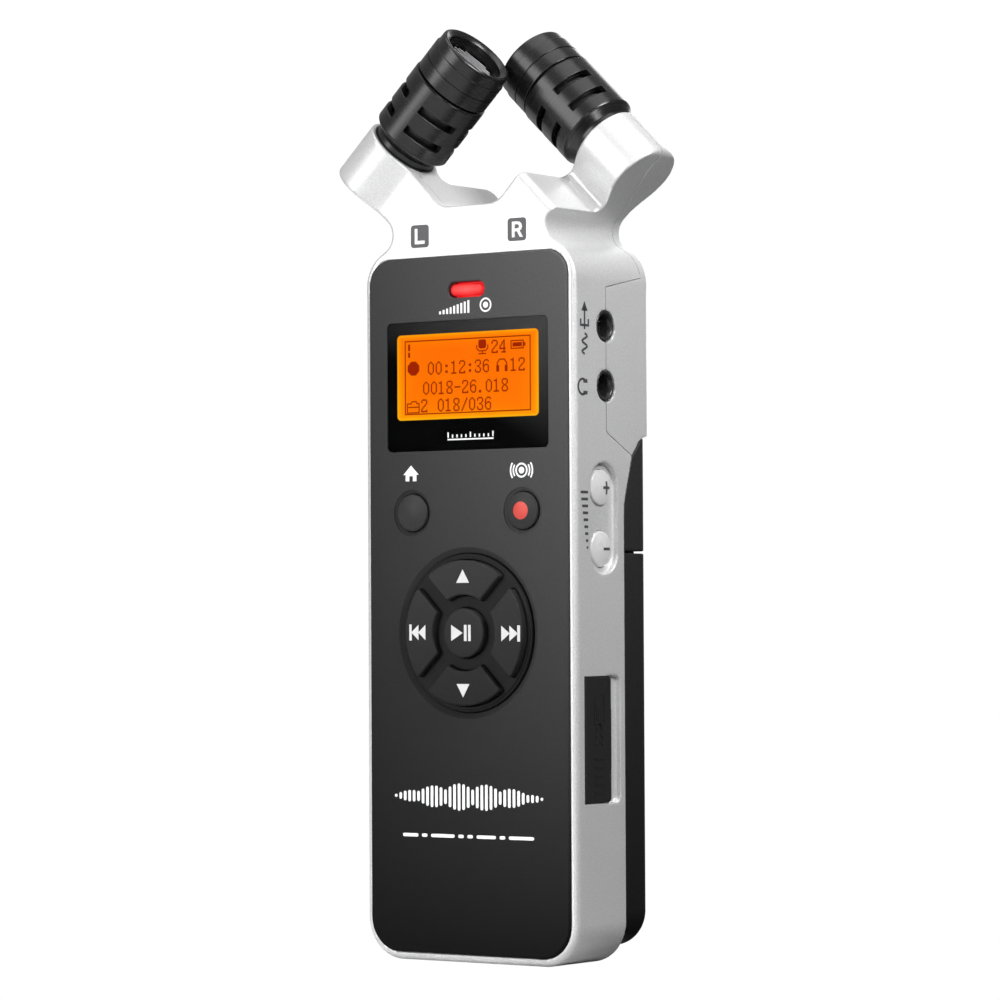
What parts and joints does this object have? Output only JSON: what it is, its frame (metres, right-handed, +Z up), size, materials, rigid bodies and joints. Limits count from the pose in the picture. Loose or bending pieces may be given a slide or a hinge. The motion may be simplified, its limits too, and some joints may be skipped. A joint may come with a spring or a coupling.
{
  "type": "portable field recorder",
  "caption": "Hand-held stereo sound recorder: tall case with face panel, lit display, round navigation pad, side sockets and two crossed microphones on short arms.",
  "frame": {"origin": "middle of the base plane the recorder stands on, midway between the front and back faces of the silver case", "axes": "+Z up towards the microphones, +X to the recorder's right-hand side, -Y out of the face panel"},
  "size_m": [0.0592, 0.028, 0.1655],
  "materials": {
    "silver_case": "satin metallic paint",
    "black_case": "fine satin texture",
    "panel": "satin",
    "window": "gloss",
    "lcd": "backlit",
    "led_red": "translucent",
    "key": "soft satin",
    "rec_key": "soft satin with a red dot",
    "silver_key": "satin",
    "black_plastic": "satin",
    "bare_metal": "plain",
    "board": "solder mask",
    "cell_wrap": "printed sleeve",
    "brass": "machined",
    "mic_black": "black anodised, turned",
    "mic_metal": "fine mesh",
    "rubber": "matte",
    "wire": "insulation"
  },
  "bodies": {
    "case": {"front_case": "silver_case", "rear_head_case": "silver_case", "rear_case": "black_case", "face_panel": "panel", "display_window": "window", "lcd_module": "lcd", "led_lens": "led_red", "led": "led_red", "nav_bezel": "panel", "power_switch": "bare_metal", "jack_line_out": "black_plastic", "jack_headphone": "black_plastic", "jack_mic_in": "black_plastic", "usb_socket": "bare_metal", "card_socket": "bare_metal", "main_pcb": "board", "pcb_chips": "black_plastic", "front_key_switches": "bare_metal", "side_key_switches": "bare_metal", "batteries": "cell_wrap", "battery_springs": "bare_metal", "battery_contacts": "bare_metal", "tripod_insert": "brass", "case_screws": "bare_metal", "mic_left_barrel": "mic_black", "mic_left_ring": "mic_black", "mic_left_grille": "mic_metal", "mic_left_mesh": "mic_metal", "mic_left_element": "mic_metal", "mic_left_collar": "rubber", "mic_right_barrel": "mic_black", "mic_right_ring": "mic_black", "mic_right_grille": "mic_metal", "mic_right_mesh": "mic_metal", "mic_right_element": "mic_metal", "mic_right_collar": "rubber", "mic_leads": "wire"},
    "home_key": {"home_button": "key"},
    "rec_key": {"rec_button": "rec_key"},
    "nav_up": {"nav_up_key": "key"},
    "nav_down": {"nav_down_key": "key"},
    "nav_left": {"nav_left_key": "key"},
    "nav_right": {"nav_right_key": "key"},
    "play_key": {"play_button": "key"},
    "volume_up": {"volume_up_button": "silver_key"},
    "volume_down": {"volume_down_button": "silver_key"},
    "level_up": {"level_up_button": "silver_key"},
    "level_down": {"level_down_button": "silver_key"},
    "power_slider": {"power_switch_knob": "black_plastic"},
    "card_door": {"card_cover": "black_plastic"},
    "battery_cover": {"battery_door": "black_case"},
    "card": {"memory_card": "black_plastic"}
  },
  "joints": [
    {"name": "home_press", "type": "slide", "parent": "case", "child": "home_key", "axis": [0, 1, 0], "range_m": [0, 0.0004], "stiffness_N_per_m": 30, "springref_m": -0.0004},
    {"name": "rec_press", "type": "slide", "parent": "case", "child": "rec_key", "axis": [0, 1, 0], "range_m": [0, 0.0004], "stiffness_N_per_m": 30, "springref_m": -0.0004},
    {"name": "nav_up_press", "type": "slide", "parent": "case", "child": "nav_up", "axis": [0, 1, 0], "range_m": [0, 0.0004], "stiffness_N_per_m": 30, "springref_m": -0.0004},
    {"name": "nav_down_press", "type": "slide", "parent": "case", "child": "nav_down", "axis": [0, 1, 0], "range_m": [0, 0.0004], "stiffness_N_per_m": 30, "springref_m": -0.0004},
    {"name": "nav_left_press", "type": "slide", "parent": "case", "child": "nav_left", "axis": [0, 1, 0], "range_m": [0, 0.0004], "stiffness_N_per_m": 30, "springref_m": -0.0004},
    {"name": "nav_right_press", "type": "slide", "parent": "case", "child": "nav_right", "axis": [0, 1, 0], "range_m": [0, 0.0004], "stiffness_N_per_m": 30, "springref_m": -0.0004},
    {"name": "play_press", "type": "slide", "parent": "case", "child": "play_key", "axis": [0, 1, 0], "range_m": [0, 0.0004], "stiffness_N_per_m": 30, "springref_m": -0.0004},
    {"name": "volume_up_press", "type": "slide", "parent": "case", "child": "volume_up", "axis": [-1, 0, 0], "range_m": [0, 0.0004], "stiffness_N_per_m": 30, "springref_m": -0.0004},
    {"name": "volume_down_press", "type": "slide", "parent": "case", "child": "volume_down", "axis": [-1, 0, 0], "range_m": [0, 0.0004], "stiffness_N_per_m": 30, "springref_m": -0.0004},
    {"name": "level_up_press", "type": "slide", "parent": "case", "child": "level_up", "axis": [1, 0, 0], "range_m": [0, 0.0004], "stiffness_N_per_m": 30, "springref_m": -0.0004},
    {"name": "level_down_press", "type": "slide", "parent": "case", "child": "level_down", "axis": [1, 0, 0], "range_m": [0, 0.0004], "stiffness_N_per_m": 30, "springref_m": -0.0004},
    {"name": "power_slide", "type": "slide", "parent": "case", "child": "power_slider", "axis": [0, 0, 1], "range_m": [-0.002, 0.002]},
    {"name": "card_door_hinge", "type": "hinge", "parent": "case", "child": "card_door", "pos_m": [0.0224, -0.0085, 0.0393], "axis": [0, 0, -1], "range_deg": [0, 95]},
    {"name": "battery_cover_slide", "type": "slide", "parent": "case", "child": "battery_cover", "axis": [0, 0, -1], "range_m": [0, 0.008]},
    {"name": "card_slide", "type": "slide", "parent": "case", "child": "card", "axis": [1, 0, 0], "range_m": [-0.0006, 0.001]}
  ]
}
